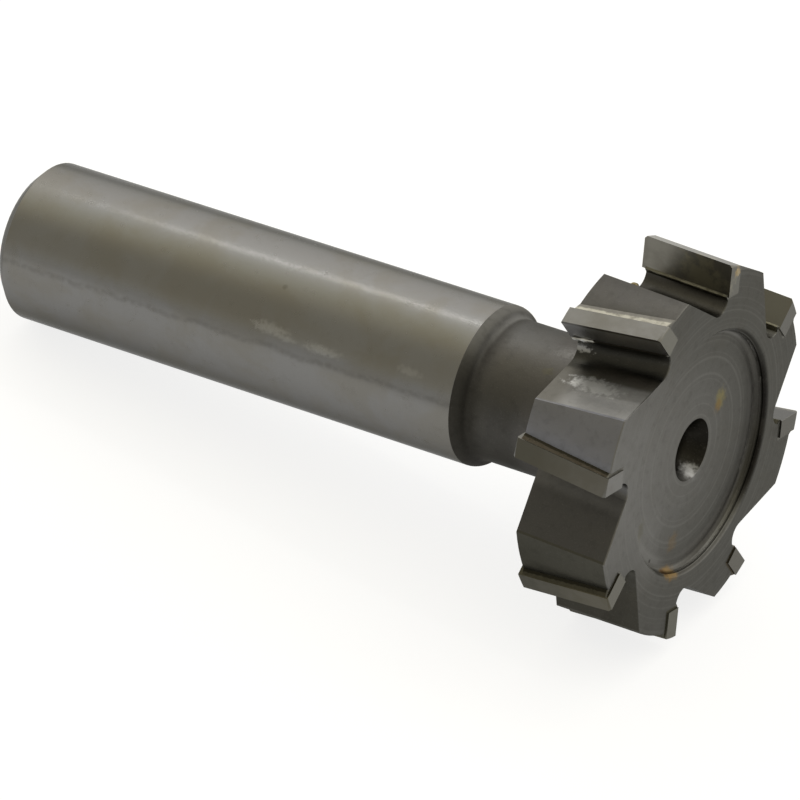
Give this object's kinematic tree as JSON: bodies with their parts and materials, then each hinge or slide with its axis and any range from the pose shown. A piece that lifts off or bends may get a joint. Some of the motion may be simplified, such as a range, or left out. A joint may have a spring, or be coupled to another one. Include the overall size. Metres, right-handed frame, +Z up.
{
  "type": "t-slot milling cutter",
  "caption": "T-slot milling cutter: plain round shank, thinner neck and a wide disc head with staggered brazed carbide tips and open gullets.",
  "frame": {"origin": "on the surface the cutter lies on, under the middle of its box", "axes": "+Z up; +X from the shank end towards the head, level, under the cutter's axis, which rises 8.5 degrees towards the head; +Y across, to the left when looking along +X"},
  "size_m": [0.0938, 0.043, 0.0438],
  "materials": {
    "body_steel": "ground grey steel on the shank, dark matt oxide-grey on the neck and head, with scuffs and brown stains",
    "tip_carbide": "fine-ground tungsten carbide, grey-brown, lighter on the ground lands",
    "braze_filler": "dull yellow brazing filler, uneven beads with dark flux stains"
  },
  "bodies": {
    "root": {"cutter_body": "body_steel", "carbide_tip_1": "tip_carbide", "braze_seam_1": "braze_filler", "carbide_tip_2": "tip_carbide", "braze_seam_2": "braze_filler", "carbide_tip_3": "tip_carbide", "braze_seam_3": "braze_filler", "carbide_tip_4": "tip_carbide", "braze_seam_4": "braze_filler", "carbide_tip_5": "tip_carbide", "braze_seam_5": "braze_filler", "carbide_tip_6": "tip_carbide", "braze_seam_6": "braze_filler", "carbide_tip_7": "tip_carbide", "braze_seam_7": "braze_filler", "carbide_tip_8": "tip_carbide", "braze_seam_8": "braze_filler"}
  },
  "joints": []
}
